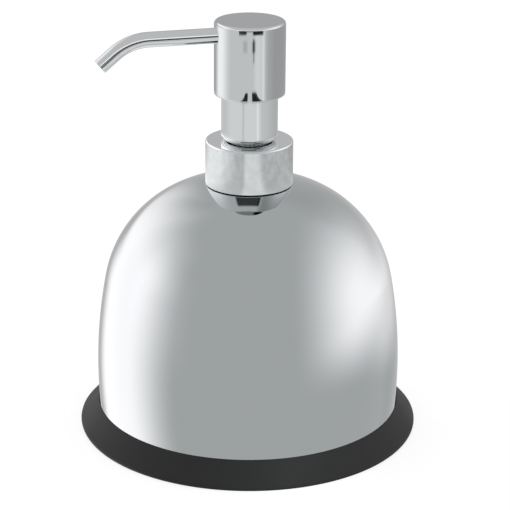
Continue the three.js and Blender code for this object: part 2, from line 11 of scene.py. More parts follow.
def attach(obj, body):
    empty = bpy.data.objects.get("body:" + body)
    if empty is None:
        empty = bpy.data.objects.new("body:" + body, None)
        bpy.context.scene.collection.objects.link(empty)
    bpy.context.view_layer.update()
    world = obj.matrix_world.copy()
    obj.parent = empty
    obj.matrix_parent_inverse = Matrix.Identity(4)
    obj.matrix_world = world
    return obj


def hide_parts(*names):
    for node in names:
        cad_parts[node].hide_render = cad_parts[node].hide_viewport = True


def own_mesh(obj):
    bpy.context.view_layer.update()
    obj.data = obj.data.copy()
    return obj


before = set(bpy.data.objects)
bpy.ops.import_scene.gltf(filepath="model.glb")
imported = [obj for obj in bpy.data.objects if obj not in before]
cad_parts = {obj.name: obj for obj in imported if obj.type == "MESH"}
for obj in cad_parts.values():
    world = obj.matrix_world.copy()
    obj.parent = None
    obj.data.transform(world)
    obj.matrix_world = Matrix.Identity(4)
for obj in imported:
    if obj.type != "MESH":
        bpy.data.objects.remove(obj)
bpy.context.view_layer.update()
scene = bpy.context.scene
scene.view_settings.view_transform = "Standard"
mm = 0.001


def toLinear(hexColour):
    # sRGB hex to the linear red, green, blue and alpha that shaders take
    parts = [int(hexColour[i:i + 2], 16) / 255 for i in (1, 3, 5)]
    return tuple(c / 12.92 if c <= 0.04045 else ((c + 0.055) / 1.055) ** 2.4 for c in parts) + (1.0,)


def addNode(tree, kind, inputs=None, **settings):
    # one node: its settings, then its inputs, each a plain value or the socket that feeds it
    node = tree.nodes.new(kind)
    for key, value in settings.items():
        setattr(node, key, value)
    for key, value in (inputs or {}).items():
        if isinstance(value, bpy.types.NodeSocket):
            tree.links.new(value, node.inputs[key])
        else:
            node.inputs[key].default_value = value
    return node


def startMaterial(name):
    material = bpy.data.materials.new(name)
    material.use_nodes = True
    material.node_tree.nodes.clear()
    return material, material.node_tree


# Camera: fitted to the rims and outlines in the photo. It stands 15.7 degrees round from the part's front, on the
# spout's side.
view = {
    "turn": -15.7,          # degrees round the axis from the front, minus towards the spout
    "distance": 658.2,      # mm from the axis, in plan
    "height": 309.5,
    "pitch": 20.49,         # degrees below level
    "yaw": 0.2,             # degrees, puts the axis a little left of the middle
    "roll": 0.42,
    "focalPixels": 1950.4,  # at 510 pixels
    "imagePixels": 510,
    "sensor": 36.0,
}
turn = math.radians(view["turn"])
towardsCamera = Vector((math.sin(turn), -math.cos(turn), 0))
toTheRight = Vector((math.cos(turn), math.sin(turn), 0))


def levelDirection(degrees):
    # level direction at an angle round the axis from the camera's side, right positive
    angle = math.radians(degrees)
    return towardsCamera * math.cos(angle) + toTheRight * math.sin(angle)


cameraData = bpy.data.cameras.new("camera")
cameraData.sensor_width = view["sensor"]
cameraData.lens = view["focalPixels"] / view["imagePixels"] * view["sensor"]
cameraData.clip_start = 0.01
cameraData.clip_end = 20
camera = bpy.data.objects.new("camera", cameraData)
scene.collection.objects.link(camera)
camera.matrix_world = (
    Matrix.Translation(towardsCamera * view["distance"] * mm + Vector((0, 0, view["height"] * mm)))
    @ Matrix.Rotation(turn - math.radians(view["yaw"]), 4, "Z")
    @ Matrix.Rotation(math.radians(90 - view["pitch"]), 4, "X")
    @ Matrix.Rotation(math.radians(view["roll"]), 4, "Z")
)
scene.camera = camera
print("camera placed")


# Studio: a pale tent round the object, with a tall soft light at the left, a round one at the right, and fainter
# ones between the left one and the camera, behind at the left and behind at the right. Angles are degrees round the
# axis from the camera's side, right positive, and above level. A patch is a strength, sides and heights, and each of
# these is where it is dark, full, full and dark.
studio = {
    "tent": 0.69,
    "lightTint": (1.085, 1.0, 1.02, 1.0),
    "lights": [
        (1.12, (-159, -132, -104.5, -53), (-89, -88, 11, 64)),
        (0.16, (-112, -84, -70, -40), (-20, -2, 14, 44)),
        (0.73, (-174, -156, -155, -133), (-3, 6.5, 7.5, 49)),
        (0.43, (95, 140, 140.5, 174.5), (-23.4, -16.8, -14, 7)),
    ],
    "round": {"strength": 1.07, "side": 98.6, "full": 2, "dark": 66.7, "cut": (-21.4, -7.4, 89, 90)},
    "behind": [(-0.09, (120, 140, 201, 218), (-91, -90, 31, 56))],      # its sides run on past 180
    "mirroredTwice": 0.36,
    "twiceDark": [      # darker in front, on the right and overhead
        (-0.85, (-44, -36, 31, 38), (32, 36, 51, 55)),
        (-0.42, (24, 50, 120, 160), (-91, -90, 80, 90)),
        (-0.55, (-201, -200, 200, 201), (60, 62, 200, 201)),
    ],
}


def softWindow(tree, value, limits):
    # 0 outside the outer limits, 1 between the inner ones, eased between
    a, b, c, d = limits
    up = addNode(tree, "ShaderNodeMapRange", {"Value": value, "From Min": a, "From Max": b},
                 interpolation_type="SMOOTHSTEP")
    down = addNode(tree, "ShaderNodeMapRange", {"Value": value, "From Min": d, "From Max": c},
                   interpolation_type="SMOOTHSTEP")
    return addNode(tree, "ShaderNodeMath", {0: up.outputs[0], 1: down.outputs[0]}, operation="MULTIPLY").outputs[0]


def sideAngle(tree, along):
    # degrees round the axis of a direction or a place, from the camera's side
    right = addNode(tree, "ShaderNodeVectorMath", {0: along, 1: toTheRight}, operation="DOT_PRODUCT")
    front = addNode(tree, "ShaderNodeVectorMath", {0: along, 1: towardsCamera}, operation="DOT_PRODUCT")
    angle = addNode(tree, "ShaderNodeMath", {0: right.outputs["Value"], 1: front.outputs["Value"]},
                    operation="ARCTAN2")
    return addNode(tree, "ShaderNodeMath", {0: angle.outputs[0]}, operation="DEGREES").outputs[0]


def addPatches(tree, total, patches, side, height):
    # total plus each patch's strength times its two soft windows
    for strength, sides, heights in patches:
        shown = addNode(tree, "ShaderNodeMath", {0: softWindow(tree, side, sides),
                                                1: softWindow(tree, height, heights)}, operation="MULTIPLY")
        total = addNode(tree, "ShaderNodeMath", {0: shown.outputs[0], 1: strength, 2: total},
                        operation="MULTIPLY_ADD").outputs[0]
    return total


world = bpy.data.worlds.new("studio")
world.use_nodes = True
scene.world = world
tree = world.node_tree
tree.nodes.clear()
direction = addNode(tree, "ShaderNodeTexCoord").outputs["Generated"]
azimuth = sideAngle(tree, direction)
rise = addNode(tree, "ShaderNodeSeparateXYZ", {0: direction})
elevation = addNode(tree, "ShaderNodeMath", {0: rise.outputs["Z"]}, operation="ARCSINE")
elevation = addNode(tree, "ShaderNodeMath", {0: elevation.outputs[0]}, operation="DEGREES").outputs[0]
onward = addNode(tree, "ShaderNodeMath", {0: azimuth, 1: 360.0, 2: 0.0}, operation="WRAP").outputs[0]
base = addPatches(tree, studio["tent"], studio["behind"], onward, elevation)
lights = addPatches(tree, 0.0, studio["lights"], azimuth, elevation)
# The round light fades with the angle from its middle, which is level with the table, and is cut off below.
roundLight = studio["round"]
away = addNode(tree, "ShaderNodeVectorMath", {0: direction, 1: levelDirection(roundLight["side"])},
               operation="DOT_PRODUCT")
away = addNode(tree, "ShaderNodeMath", {0: away.outputs["Value"]}, operation="ARCCOSINE")
away = addNode(tree, "ShaderNodeMath", {0: away.outputs[0]}, operation="DEGREES")
disc = addNode(tree, "ShaderNodeMapRange", {"Value": away.outputs[0], "From Min": roundLight["dark"],
                                           "From Max": roundLight["full"]}, interpolation_type="SMOOTHSTEP")
disc = addNode(tree, "ShaderNodeMath", {0: disc.outputs[0], 1: softWindow(tree, elevation, roundLight["cut"])},
               operation="MULTIPLY")
lights = addNode(tree, "ShaderNodeMath", {0: disc.outputs[0], 1: roundLight["strength"], 2: lights},
                 operation="MULTIPLY_ADD").outputs[0]
# What is mirrored twice is brighter, because each mirror darkens it, and has dark patches of its own.
seen = addNode(tree, "ShaderNodeLightPath")
twice = addNode(tree, "ShaderNodeMath", {0: seen.outputs["Glossy Depth"], 1: 1.5}, operation="GREATER_THAN").outputs[0]
lift = addNode(tree, "ShaderNodeMath", {0: twice, 1: studio["mirroredTwice"], 2: 1.0}, operation="MULTIPLY_ADD")
base = addNode(tree, "ShaderNodeMath", {0: base, 1: lift.outputs[0]}, operation="MULTIPLY").outputs[0]
dark = addPatches(tree, 0.0, studio["twiceDark"], azimuth, elevation)
base = addNode(tree, "ShaderNodeMath", {0: dark, 1: twice, 2: base}, operation="MULTIPLY_ADD").outputs[0]
tent = addNode(tree, "ShaderNodeBackground", {"Color": (1, 1, 1, 1), "Strength": base})
lamps = addNode(tree, "ShaderNodeBackground", {"Color": studio["lightTint"], "Strength": lights})
surround = addNode(tree, "ShaderNodeAddShader", {0: tent.outputs[0], 1: lamps.outputs[0]})
backdrop = addNode(tree, "ShaderNodeBackground", {"Color": (1, 1, 1, 1), "Strength": 1.0})
choice = addNode(tree, "ShaderNodeMixShader", {0: seen.outputs["Is Camera Ray"], 1: surround.outputs[0],
                                              2: backdrop.outputs[0]})
addNode(tree, "ShaderNodeOutputWorld", {"Surface": choice.outputs[0]})

# Floor: plain, pale, white to the camera but for the object's shadow, and clear from below. Mirrors look through
# it at the tent.
floorLook = {"colour": "#E6E6E6", "shadowShare": 0.35, "white": 0.76, "size": 3000, "drop": 0.02}
floorMaterial, tree = startMaterial("paleFloor")
seen = addNode(tree, "ShaderNodeLightPath")
pale = addNode(tree, "ShaderNodeBsdfDiffuse", {"Color": toLinear(floorLook["colour"])})
shaded = addNode(tree, "ShaderNodeBsdfDiffuse", {"Color": (floorLook["shadowShare"],) * 3 + (1,)})
glow = addNode(tree, "ShaderNodeEmission", {"Color": (1, 1, 1, 1), "Strength": floorLook["white"]})
white = addNode(tree, "ShaderNodeAddShader", {0: shaded.outputs[0], 1: glow.outputs[0]})
plain = addNode(tree, "ShaderNodeMixShader", {0: seen.outputs["Is Camera Ray"], 1: pale.outputs[0],
                                             2: white.outputs[0]})
mirrored = addNode(tree, "ShaderNodeMath", {0: seen.outputs["Is Glossy Ray"],
                                           1: seen.outputs["Is Transmission Ray"]}, operation="MAXIMUM")
mirrored = addNode(tree, "ShaderNodeMath", {0: mirrored.outputs[0],
                                           1: addNode(tree, "ShaderNodeNewGeometry").outputs["Backfacing"]},
                   operation="MAXIMUM")
through = addNode(tree, "ShaderNodeBsdfTransparent")
both = addNode(tree, "ShaderNodeMixShader", {0: mirrored.outputs[0], 1: plain.outputs[0], 2: through.outputs[0]})
addNode(tree, "ShaderNodeOutputMaterial", {"Surface": both.outputs[0]})
floorMesh = bpy.data.meshes.new("floor")
half, level = floorLook["size"] * mm / 2, -floorLook["drop"] * mm
floorMesh.from_pydata([(-half, -half, level), (half, -half, level), (half, half, level), (-half, half, level)], [],
                      [(0, 1, 2, 3)])
floorMesh.materials.append(floorMaterial)
floor = bpy.data.objects.new("floor", floorMesh)
scene.collection.objects.link(floor)

# Spot: lights a soft patch on the front of the rubber ring. Mirrors don't show it. Places are a distance from the
# axis and a height.
spot = {"side": 15, "lamp": (420, 330), "aim": (60, 9), "size": 20, "cone": 6.2, "watts": 5.2}
lampPlace, aimPlace = ((levelDirection(spot["side"]) * away + Vector((0, 0, height))) * mm
                       for away, height in (spot["lamp"], spot["aim"]))
spotData = bpy.data.lights.new("spot", "SPOT")
spotData.energy = spot["watts"]
spotData.spot_size = math.radians(spot["cone"])
spotData.spot_blend = 1.0
spotData.shadow_soft_size = spot["size"] * mm
spotLamp = bpy.data.objects.new("spot", spotData)
scene.collection.objects.link(spotLamp)
spotLamp.location = lampPlace
spotLamp.rotation_euler = (lampPlace - aimPlace).to_track_quat("Z", "Y").to_euler()
spotLamp.visible_glossy = False
print("studio and floor made")


def variedRoughness(tree, noise, look):
    # roughness that follows a noise, from vary below the middle value to vary above it
    return addNode(tree, "ShaderNodeMapRange", {
        "Value": noise.outputs["Fac"], "From Min": 0.3, "From Max": 0.7,
        "To Min": look["roughness"] - look["vary"], "To Max": look["roughness"] + look["vary"]}).outputs[0]


def chromeMaterial(name, look):
    # chrome plating over polished brass or zinc: a mirror, faintly hazy in patches, with a slight ripple
    material, tree = startMaterial(name)
    place = addNode(tree, "ShaderNodeTexCoord").outputs["Object"]
    haze = addNode(tree, "ShaderNodeTexNoise", {"Vector": place, "Scale": 1 / (look["hazeSize"] * mm), "Detail": 3.0})
    ripple = addNode(tree, "ShaderNodeTexNoise", {"Vector": place, "Scale": 1 / (look["rippleSize"] * mm),
                                                 "Detail": 1.0})
    bump = addNode(tree, "ShaderNodeBump", {"Height": ripple.outputs["Fac"], "Strength": 1.0,
                                           "Distance": look["rippleDepth"] * mm})
    metal = addNode(tree, "ShaderNodeBsdfPrincipled", {
        "Base Color": toLinear(look["colour"]), "Metallic": 1.0, "Roughness": variedRoughness(tree, haze, look),
        "Normal": bump.outputs[0]})
    addNode(tree, "ShaderNodeOutputMaterial", {"Surface": metal.outputs[0]})
    return material


domeChrome = chromeMaterial("domeChrome", {
    "colour": "#B9BEBF", "roughness": 0.05, "vary": 0.015, "hazeSize": 14, "rippleSize": 30, "rippleDepth": 0.002})
pumpChrome = chromeMaterial("pumpChrome", {
    "colour": "#D6D9DA", "roughness": 0.032, "vary": 0.014, "hazeSize": 5, "rippleSize": 7, "rippleDepth": 0.004})


def mouldedMaterial(name, look):
    # a moulded surface: the mould's fine grain in relief, and broad flow marks in colour and gloss
    material, tree = startMaterial(name)
    place = addNode(tree, "ShaderNodeTexCoord").outputs["Object"]
    grain = addNode(tree, "ShaderNodeTexNoise", {"Vector": place, "Scale": 1 / (look["grain"] * mm), "Detail": 2.0})
    flow = addNode(tree, "ShaderNodeTexNoise", {"Vector": place, "Scale": 1 / (look["flow"] * mm), "Detail": 4.0})
    tone = addNode(tree, "ShaderNodeMix", {"Factor": flow.outputs["Fac"], "A": toLinear(look["colour"]),
                                          "B": toLinear(look["paler"])}, data_type="RGBA")
    bump = addNode(tree, "ShaderNodeBump", {"Height": grain.outputs["Fac"], "Strength": 1.0,
                                           "Distance": look["grainDepth"] * mm})
    skin = addNode(tree, "ShaderNodeBsdfPrincipled", {
        "Base Color": tone.outputs["Result"], "Roughness": variedRoughness(tree, flow, look), "Normal": bump.outputs[0],
        "Specular IOR Level": look.get("specular", 0.5), "Transmission Weight": look.get("clear", 0.0),
        "Subsurface Weight": look.get("depthShare", 0.0), "Subsurface Scale": 0.6 * mm})
    addNode(tree, "ShaderNodeOutputMaterial", {"Surface": skin.outputs[0]})
    return material


def workedSteel(name, look):
    # stainless steel worked on a lathe or drawn as wire: fine rings round the axis, in relief and in gloss. The
    # pattern depends on the distance from the axis and the height alone.
    material, tree = startMaterial(name)
    place = addNode(tree, "ShaderNodeTexCoord").outputs["Object"]
    flat = addNode(tree, "ShaderNodeVectorMath", {0: place, 1: (1, 1, 0)}, operation="MULTIPLY")
    distance = addNode(tree, "ShaderNodeVectorMath", {0: flat.outputs[0]}, operation="LENGTH")
    height = addNode(tree, "ShaderNodeSeparateXYZ", {0: place}).outputs["Z"]
    profile = addNode(tree, "ShaderNodeCombineXYZ", {"X": distance.outputs["Value"], "Y": height})
    marks = addNode(tree, "ShaderNodeTexNoise", {"Vector": profile.outputs[0], "Scale": 1 / (look["marks"] * mm),
                                                "Detail": 3.0})
    patches = addNode(tree, "ShaderNodeTexNoise", {"Vector": place, "Scale": 1 / (look["patches"] * mm), "Detail": 3.0})
    tone = addNode(tree, "ShaderNodeMix", {"Factor": patches.outputs["Fac"], "A": toLinear(look["colour"]),
                                          "B": toLinear(look["paler"])}, data_type="RGBA")
    bump = addNode(tree, "ShaderNodeBump", {"Height": marks.outputs["Fac"], "Strength": 1.0,
                                           "Distance": look["marksDepth"] * mm})
    metal = addNode(tree, "ShaderNodeBsdfPrincipled", {
        "Base Color": tone.outputs["Result"], "Metallic": 1.0, "Roughness": variedRoughness(tree, marks, look),
        "Normal": bump.outputs[0]})
    addNode(tree, "ShaderNodeOutputMaterial", {"Surface": metal.outputs[0]})
    return material


# The ring's rubber is matt and charcoal, with a faint bloom. The seals are a paler, softer elastomer.
rubber = mouldedMaterial("charcoalRubber", {
    "colour": "#272828", "paler": "#333434", "roughness": 0.55, "vary": 0.06, "specular": 0.12, "grain": 0.5,
    "grainDepth": 0.012, "flow": 18})
elastomer = mouldedMaterial("greyElastomer", {
    "colour": "#4E5353", "paler": "#5E6363", "roughness": 0.62, "vary": 0.08, "specular": 0.35, "grain": 0.25,
    "grainDepth": 0.008, "flow": 4})
# Acetal for what slides, polypropylene for the insert and the bush, and natural polypropylene that light comes through.
whiteAcetal = mouldedMaterial("whiteAcetal", {
    "colour": "#E3E5E2", "paler": "#EEEFEC", "roughness": 0.36, "vary": 0.07, "grain": 0.3, "grainDepth": 0.004,
    "flow": 5, "depthShare": 0.2})
greyPolypropylene = mouldedMaterial("greyPolypropylene", {
    "colour": "#878C8D", "paler": "#949999", "roughness": 0.44, "vary": 0.08, "grain": 0.35, "grainDepth": 0.006,
    "flow": 6})
naturalPolypropylene = mouldedMaterial("naturalPolypropylene", {
    "colour": "#E9EEED", "paler": "#F3F6F5", "roughness": 0.34, "vary": 0.06, "grain": 0.4, "grainDepth": 0.0008,
    "flow": 7, "clear": 0.5, "depthShare": 0.3})
# The floor is spun, the neck is turned, the spring is drawn wire and the ball is ground.
spunSteel = workedSteel("spunSteel", {
    "colour": "#A9ABAC", "paler": "#BDBFC0", "roughness": 0.27, "vary": 0.07, "marks": 0.35, "marksDepth": 0.006,
    "patches": 16})
turnedSteel = workedSteel("turnedSteel", {
    "colour": "#B0B2B3", "paler": "#C2C4C5", "roughness": 0.24, "vary": 0.06, "marks": 0.16, "marksDepth": 0.005,
    "patches": 6})
springSteel = workedSteel("springSteel", {
    "colour": "#A4A6A8", "paler": "#B8BABC", "roughness": 0.2, "vary": 0.05, "marks": 0.08, "marksDepth": 0.002,
    "patches": 2})
groundSteel = workedSteel("groundSteel", {
    "colour": "#B4B6B8", "paler": "#C4C6C8", "roughness": 0.12, "vary": 0.04, "marks": 0.3, "marksDepth": 0.0006,
    "patches": 1.5})
print("materials made")


def arcPoints(centre, radius, start, end, count):
    # points at even angles of a circle about centre, both ends included, angles in radians
    angle = np.linspace(start, end, count + 1)
    return np.stack([centre[0] + radius * np.cos(angle), centre[1] + radius * np.sin(angle)], 1)


def roundedOutline(corners, count):
    # Each corner is (radius, height) or (radius, height, rounding). A rounded corner is replaced by the arc that
    # touches both of its sides, whose centre lies on the bisector at rounding over the sine of half the angle.
    places = np.array([c[:2] for c in corners], float)
    rows = []
    for i, corner in enumerate(corners):
        here, rounding = places[i], (corner[2] if len(corner) > 2 else 0)
        if not rounding:
            rows.append(here[None])
            continue
        back = places[i - 1] - here
        ahead = places[(i + 1) % len(corners)] - here
        back, ahead = back / np.linalg.norm(back), ahead / np.linalg.norm(ahead)
        half = math.acos(float(np.clip(back @ ahead, -1, 1))) / 2
        middle = here + (back + ahead) / np.linalg.norm(back + ahead) * rounding / math.sin(half)
        start = here + back * rounding / math.tan(half) - middle
        end = here + ahead * rounding / math.tan(half) - middle
        first = math.atan2(start[1], start[0])
        sweep = (math.atan2(end[1], end[0]) - first + math.pi) % (2 * math.pi) - math.pi
        rows.append(arcPoints(middle, rounding, first, first + sweep, count))
    return np.concatenate(rows)


def withHolds(outline):
    # two more points, 0.08 mm from the ends of each long straight run, so that its shading stays flat
    hold = 0.08
    following = np.roll(outline, -1, 0)
    run = following - outline
    length = np.linalg.norm(run, axis=1)
    isLong = length > 6 * hold
    share = np.where(isLong, hold / np.maximum(length, 1e-9), 0)[:, None]
    stations = np.stack([outline, outline + run * share, following - run * share], 1).reshape(-1, 2)
    kept = np.repeat(isLong, 3).reshape(-1, 3)
    kept[:, 0] = True
    return stations[kept.reshape(-1)]


def addPiece(name, points, faces, material, body, replaced):
    # a mesh from whole arrays: doubles merged, normals outward, smooth but for edges sharper than 35 degrees
    mesh = bpy.data.meshes.new(name)
    mesh.from_pydata((np.asarray(points) * mm).tolist(), [], faces.tolist())
    shape = bmesh.new()
    shape.from_mesh(mesh)
    bmesh.ops.remove_doubles(shape, verts=shape.verts, dist=1e-7)
    bmesh.ops.recalc_face_normals(shape, faces=shape.faces)
    shape.to_mesh(mesh)
    shape.free()
    mesh.shade_smooth()
    mesh.set_sharp_from_angle(angle=math.radians(35))
    mesh.materials.append(material)
    piece = bpy.data.objects.new(name, mesh)
    scene.collection.objects.link(piece)
    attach(piece, body)
    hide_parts(*replaced)
    return piece


def gridFaces(rows, columns, wrapRows=True):
    # quads between neighbouring rows and columns of points. Columns always close, rows when asked.
    i, j = np.meshgrid(np.arange(rows if wrapRows else rows - 1), np.arange(columns), indexing="ij")
    nextRow, nextColumn = (i + 1) % rows, (j + 1) % columns
    return np.stack([i * columns + j, i * columns + nextColumn, nextRow * columns + nextColumn,
                     nextRow * columns + j], -1).reshape(-1, 4)


def spin(outline, sides):
    # radius and height carried round the axis: (radius cos a, radius sin a, height) at even angles a
    angle = np.arange(sides) * 2 * math.pi / sides
    radius, height = outline[:, :1], outline[:, 1:]
    points = np.stack([radius * np.cos(angle), radius * np.sin(angle), height + 0 * angle], -1)
    return points.reshape(-1, 3), gridFaces(len(outline), sides)


def drillWall(points, faces, sides, drill):
    # A round hole through a turned wall. Its window, some columns and rows of the grid in both walls, is filled by
    # rings that shrink from the window's edge to the hole, go round the hole's edge and on through the wall. A ring
    # at a share between window and hole lies at share times the window's edge plus (1 - share) times the circle.
    bearing = math.radians(drill["bearing"])
    outward, sideways = (np.array([math.cos(a), math.sin(a)]) for a in (bearing, bearing + math.pi / 2))
    columns, rows, outerRow, innerRow = (drill[k] for k in ("columns", "rows", "outerRow", "innerRow"))
    firstColumn = round(bearing / (2 * math.pi) * sides) - columns // 2
    rowOf, columnOf = faces[:, 0] // sides, faces[:, 0] % sides
    inWindow = (columnOf >= firstColumn) & (columnOf < firstColumn + columns) & (
        ((rowOf >= outerRow) & (rowOf < outerRow + rows)) | ((rowOf >= innerRow) & (rowOf < innerRow + rows)))

    def windowEdge(lowRow, step):
        # numbers of the grid's points round the window, from a low corner: up, across, down and back
        high, left, right = lowRow + step * rows, firstColumn, firstColumn + columns
        up = np.arange(lowRow, high, step) * sides + left
        across = high * sides + np.arange(left, right)
        down = np.arange(high, lowRow, -step) * sides + right
        back = lowRow * sides + np.arange(right, left, -1)
        return np.concatenate([up, across, down, back])

    outerEdge, innerEdge = windowEdge(outerRow, 1), windowEdge(innerRow + rows, -1)
    place = np.stack([points[outerEdge][:, :2] @ sideways, points[outerEdge][:, 2] - drill["height"]], 1)
    circle = place / np.linalg.norm(place, axis=1)[:, None]
    edge, size, wall = drill["edge"], drill["radius"], drill["outer"] - drill["inner"]
    # Each ring is (share, hole radius, depth): in from the window, round the hole's edge, through the wall.
    steps = [(share, size + edge, 0.0) for share in np.linspace(0.75, 0, drill["rings"]) ** 1.3]
    steps += [(0, size + edge * (1 - math.sin(a)), edge * (1 - math.cos(a))) for a in np.radians([22.5, 45, 67.5, 90])]
    steps += [(share, size, wall) for share in (0, 0.3, 0.7)]
    shares, sizes, depths = (np.array(v)[:, None] for v in zip(*steps))
    across, up = (shares * place[:, k] + (1 - shares) * sizes * circle[:, k] for k in (0, 1))
    depth = np.sqrt((drill["outer"] - depths) ** 2 - across ** 2)
    patch = np.stack([depth * outward[0] + across * sideways[0], depth * outward[1] + across * sideways[1],
                      up + drill["height"]], -1)
    patchNumbers = len(points) + np.arange(len(steps) * len(outerEdge)).reshape(-1, len(outerEdge))
    numbers = np.concatenate([outerEdge[None], patchNumbers, innerEdge[None]])
    low, high = numbers[:-1], numbers[1:]
    patchFaces = np.stack([low, np.roll(low, -1, 1), np.roll(high, -1, 1), high], -1).reshape(-1, 4)
    return np.concatenate([points, patch.reshape(-1, 3)]), np.concatenate([faces[~inWindow], patchFaces])


# Dome: two arcs that run into each other, drawn from sheet. The same arcs, closer in, make its inside.
dome = {"radius": 54.88, "widest": 21.95, "foot": 5, "wallArc": 178.1, "wallRise": 11.18, "shoulderArc": 43.45,
        "hole": 14.0, "wall": 0.8, "sides": 256}
wallCentre = np.array([dome["radius"] - dome["wallArc"], dome["widest"]])
wallRise = math.radians(dome["wallRise"])
wallEnd = np.array([math.cos(wallRise), math.sin(wallRise)])
shoulderCentre = wallCentre + (dome["wallArc"] - dome["shoulderArc"]) * wallEnd


def domeLine(inset, counts):
    # radius and height from foot to hole, at an inset from the outer skin
    wallSize, shoulderSize = dome["wallArc"] - inset, dome["shoulderArc"] - inset
    foot = math.asin((dome["foot"] - dome["widest"]) / wallSize)
    hole = math.acos((dome["hole"] - shoulderCentre[0]) / shoulderSize)
    wall = arcPoints(wallCentre, wallSize, foot, wallRise, counts[0])
    shoulder = arcPoints(shoulderCentre, shoulderSize, wallRise, hole, counts[1])
    return np.concatenate([wall, shoulder[1:]])


domeOutline = np.concatenate([domeLine(0, (60, 90)), domeLine(dome["wall"], (16, 30))[::-1]])
points, faces = spin(domeOutline, dome["sides"])
addPiece("domeSkin", points, faces, domeChrome, "bottle", ["dome_shell"])

# Ring: moulded rubber with a shelf for the dome, a flared skirt and a rounded lip near the table.
ring = {"lipRadius": 61.5, "lip": 1.5, "soleAngle": 48, "top": 8.7, "topWidth": 0.5, "topRounding": 0.25,
        "inner": 45.97, "shelf": 4.85, "gap": 0.2, "sides": 256}


def domeRadiusAt(height):
    # radius of the dome's wall: its arc's centre + sqrt(arc radius squared - height above the centre squared)
    return wallCentre[0] + math.sqrt(dome["wallArc"] ** 2 - (height - dome["widest"]) ** 2)


mouth = domeRadiusAt(ring["top"]) + ring["gap"]
topOuter = mouth + ring["topWidth"]
soleAngle = math.radians(ring["soleAngle"])
lipCentre = np.array([ring["lipRadius"] - ring["lip"], ring["lip"] * math.sin(soleAngle)])
skirtTop = np.array([topOuter, ring["top"] - ring["topRounding"]])
skirtRun = lipCentre - skirtTop
skirtAngle = math.atan2(skirtRun[1], skirtRun[0]) + math.pi / 2 - math.asin(ring["lip"] / np.linalg.norm(skirtRun))
ringOutline = np.concatenate([
    [[ring["inner"], 0]],
    arcPoints(lipCentre, ring["lip"], -soleAngle, skirtAngle, 16),
    arcPoints((topOuter - ring["topRounding"], ring["top"] - ring["topRounding"]), ring["topRounding"],
              skirtAngle, math.pi / 2, 6),
    [[mouth, ring["top"]], [domeRadiusAt(ring["shelf"]) + ring["gap"], ring["shelf"]],
     [ring["inner"], ring["shelf"]]],
])
points, faces = spin(withHolds(ringOutline), ring["sides"])
rubberRing = addPiece("rubberRing", points, faces, rubber, "bottle", ["base_ring"])
rubberRing.visible_glossy = False       # the dome stays plain down to the ring

# Collar: a thin chromed skin, turned in at the top.
collar = {"radius": 15.55, "foot": 91.3, "top": 107.15, "edge": 0.7, "skin": 0.5, "hole": 8.2, "lip": 0.15,
          "sides": 160}
collarOutline = roundedOutline([
    (collar["radius"] - collar["skin"], collar["foot"], 0.1), (collar["radius"], collar["foot"], collar["lip"]),
    (collar["radius"], collar["top"], collar["edge"]), (collar["hole"], collar["top"], collar["lip"]),
    (collar["hole"], collar["top"] - collar["skin"]),
    (collar["radius"] - collar["skin"], collar["top"] - collar["skin"], 0.2),
], 8)
points, faces = spin(withHolds(collarOutline), collar["sides"])
addPiece("collarSkin", points, faces, pumpChrome, "collar", ["collar_shell"])

# Sleeve: a thin chromed tube, drawn in at its foot.
sleeve = {"radius": 10, "foot": 107.31, "top": 125.95, "wall": 0.6, "footRounding": 2, "mouth": 8.2, "sides": 160}
footReach = math.acos((sleeve["mouth"] - sleeve["radius"] + sleeve["footRounding"]) / sleeve["footRounding"])
insideReach = math.acos((sleeve["mouth"] - sleeve["radius"] + sleeve["footRounding"])
                        / (sleeve["footRounding"] - sleeve["wall"]))
footCentre = (sleeve["radius"] - sleeve["footRounding"], sleeve["foot"] + sleeve["footRounding"])
sleeveOutline = np.concatenate([
    arcPoints(footCentre, sleeve["footRounding"], -footReach, 0, 20),
    [[sleeve["radius"], sleeve["top"]], [sleeve["radius"] - sleeve["wall"], sleeve["top"]]],
    arcPoints(footCentre, sleeve["footRounding"] - sleeve["wall"], 0, -insideReach, 12),
])
points, faces = spin(withHolds(sleeveOutline), sleeve["sides"])
addPiece("sleeveSkin", points, faces, pumpChrome, "pump", ["sleeve_shell"])
print("bottle, ring, collar and sleeve made")

# Head: a chromed cap with a round hole for the spout.
head = {"radius": 12.5, "foot": 123.95, "top": 149.95, "wall": 0.7, "topEdge": 1.0, "footEdge": 0.3,
        "ceilingEdge": 0.4, "mouthEdge": 0.1, "hold": 0.1, "holeHeight": 145.3, "holeRadius": 3.1, "holeEdge": 0.12,
        "windowBelow": 3.9, "windowAbove": 3.45, "windowHold": 2, "windowColumns": 52, "windowRows": 16, "rings": 5,
        "sides": 320}
skin, hollow = head["radius"], head["radius"] - head["wall"]
ceiling = head["top"] - head["wall"]
windowLow, windowHigh = head["holeHeight"] - head["windowBelow"], head["holeHeight"] + head["windowAbove"]
rowHeights = np.linspace(windowLow, windowHigh, head["windowRows"] + 1)
footArc = arcPoints((skin - head["footEdge"], head["foot"] + head["footEdge"]), head["footEdge"], -math.pi / 2, 0, 8)
topArc = arcPoints((skin - head["topEdge"], head["top"] - head["topEdge"]), head["topEdge"], 0, math.pi / 2, 10)
outside = np.concatenate([
    footArc, [[skin, head["foot"] + head["footEdge"] + head["hold"]], [skin, windowLow - head["windowHold"]]],
    np.stack([np.full(len(rowHeights), skin), rowHeights], 1),
    topArc, [[skin - head["topEdge"] - head["hold"], head["top"]], [0, head["top"]]],
])
inside = np.concatenate([
    [[0, ceiling], [hollow - head["ceilingEdge"], ceiling], [hollow, ceiling - head["ceilingEdge"]]],
    np.stack([np.full(len(rowHeights), hollow), rowHeights[::-1]], 1),
    [[hollow, head["foot"] + 2 * head["mouthEdge"]], [hollow + head["mouthEdge"], head["foot"]]],
])
